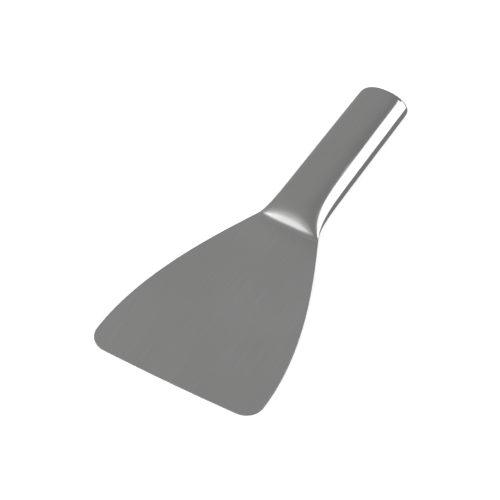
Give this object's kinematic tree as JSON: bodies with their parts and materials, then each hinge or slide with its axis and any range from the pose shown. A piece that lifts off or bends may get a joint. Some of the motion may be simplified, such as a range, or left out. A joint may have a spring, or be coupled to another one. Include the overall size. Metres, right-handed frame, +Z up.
{
  "type": "palette knife",
  "caption": "Wide fan-shaped flat steel blade welded into a short hollow oval handle, for spreading, mixing and scraping thick paint or paste.",
  "frame": {"origin": "bottom centre of the whole knife's box, as it rests on a table on the blade's front and the handle's belly", "axes": "+X along the knife towards the blade's working edge, +Y across the blade, +Z up out of the table; the blade dips towards +X"},
  "size_m": [0.2298, 0.101, 0.0163],
  "materials": {
    "blade_steel": "fine satin, ground flat",
    "handle_steel": "smooth polished satin",
    "weld_steel": "weld ground flush and polished"
  },
  "bodies": {
    "root": {"blade": "blade_steel", "handle_tube": "handle_steel", "end_cap": "handle_steel", "neck_weld_top": "weld_steel", "neck_weld_underside": "weld_steel", "end_cap_weld": "weld_steel"}
  },
  "joints": []
}
